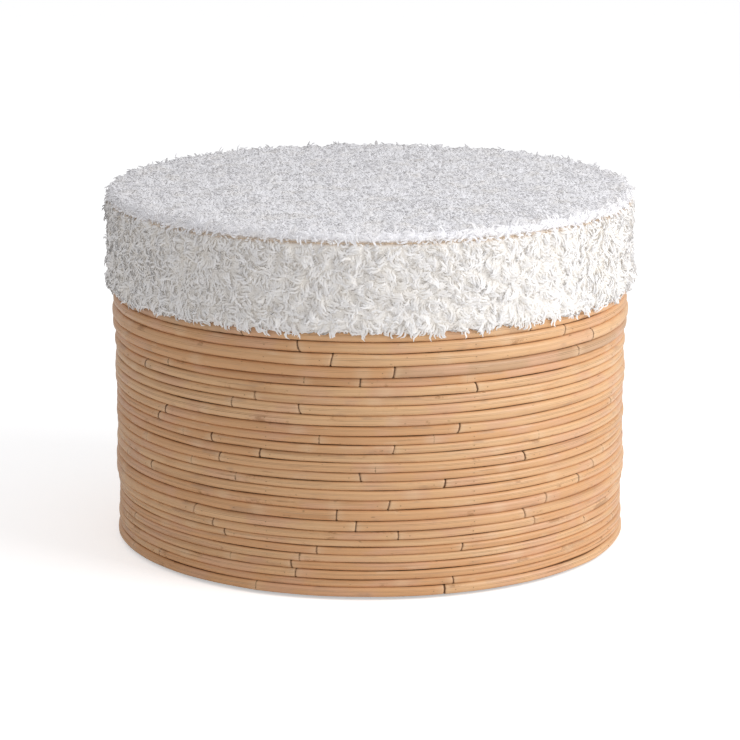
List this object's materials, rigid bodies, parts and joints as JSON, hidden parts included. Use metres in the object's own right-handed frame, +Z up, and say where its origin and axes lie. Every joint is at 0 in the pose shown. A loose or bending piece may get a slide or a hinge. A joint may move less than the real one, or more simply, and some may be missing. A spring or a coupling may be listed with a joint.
{
  "type": "storage ottoman",
  "caption": "Round storage ottoman: a plywood drum clad in stacked rattan canes, with a padded long-pile lid that lifts off a locating ring.",
  "frame": {"origin": "on the floor, under the middle of the drum", "axes": "+Z up along the drum's axis; the pictured front faces -Y; +X is to the right seen from the front"},
  "size_m": [0.6, 0.6, 0.3979],
  "materials": {
    "rattan_cane": "natural satin cane",
    "plywood": "bare birch plywood",
    "post_timber": "bare planed timber",
    "nylon": "matt moulded nylon",
    "zinc_screw": "zinc plated",
    "brad_steel": "dulled steel",
    "staple_wire": "galvanised wire",
    "foam": "open-cell foam",
    "wadding": "soft polyester wadding",
    "long_pile_fleece": "off-white curly long pile",
    "black_nonwoven": "spun-bonded dust cloth"
  },
  "bodies": {
    "drum": {"foot_ring": "plywood", "floor_panel": "plywood", "rim_ring": "plywood", "wall_sheet": "plywood", "frame_screws": "zinc_screw", "cane_pins": "brad_steel", "post_1": "post_timber", "post_2": "post_timber", "post_3": "post_timber", "post_4": "post_timber", "post_5": "post_timber", "post_6": "post_timber", "post_7": "post_timber", "post_8": "post_timber", "glide_1": "nylon", "glide_2": "nylon", "glide_3": "nylon", "glide_4": "nylon", "cane_course_01": "rattan_cane", "cane_course_02": "rattan_cane", "cane_course_03": "rattan_cane", "cane_course_04": "rattan_cane", "cane_course_05": "rattan_cane", "cane_course_06": "rattan_cane", "cane_course_07": "rattan_cane", "cane_course_08": "rattan_cane", "cane_course_09": "rattan_cane", "cane_course_10": "rattan_cane", "cane_course_11": "rattan_cane", "cane_course_12": "rattan_cane", "cane_course_13": "rattan_cane", "cane_course_14": "rattan_cane", "cane_course_15": "rattan_cane", "cane_course_16": "rattan_cane", "cane_course_17": "rattan_cane", "cane_course_18": "rattan_cane", "cane_course_19": "rattan_cane", "cane_course_20": "rattan_cane", "cane_course_21": "rattan_cane", "cane_course_22": "rattan_cane", "cane_course_23": "rattan_cane", "cane_course_24": "rattan_cane", "cane_course_25": "rattan_cane", "cane_course_26": "rattan_cane", "cane_course_27": "rattan_cane", "cane_course_28": "rattan_cane"},
    "lid": {"lid_board": "plywood", "locating_ring": "plywood", "locating_ring_screws": "zinc_screw", "foam_pad": "foam", "wadding_wrap": "wadding", "cover_top_panel": "long_pile_fleece", "cover_side_band": "long_pile_fleece", "dust_cover": "black_nonwoven", "cover_staples": "staple_wire"}
  },
  "joints": [
    {"name": "lid_lift", "type": "slide", "parent": "drum", "child": "lid", "axis": [0, 0, 1], "range_m": [0, 0.35]}
  ]
}
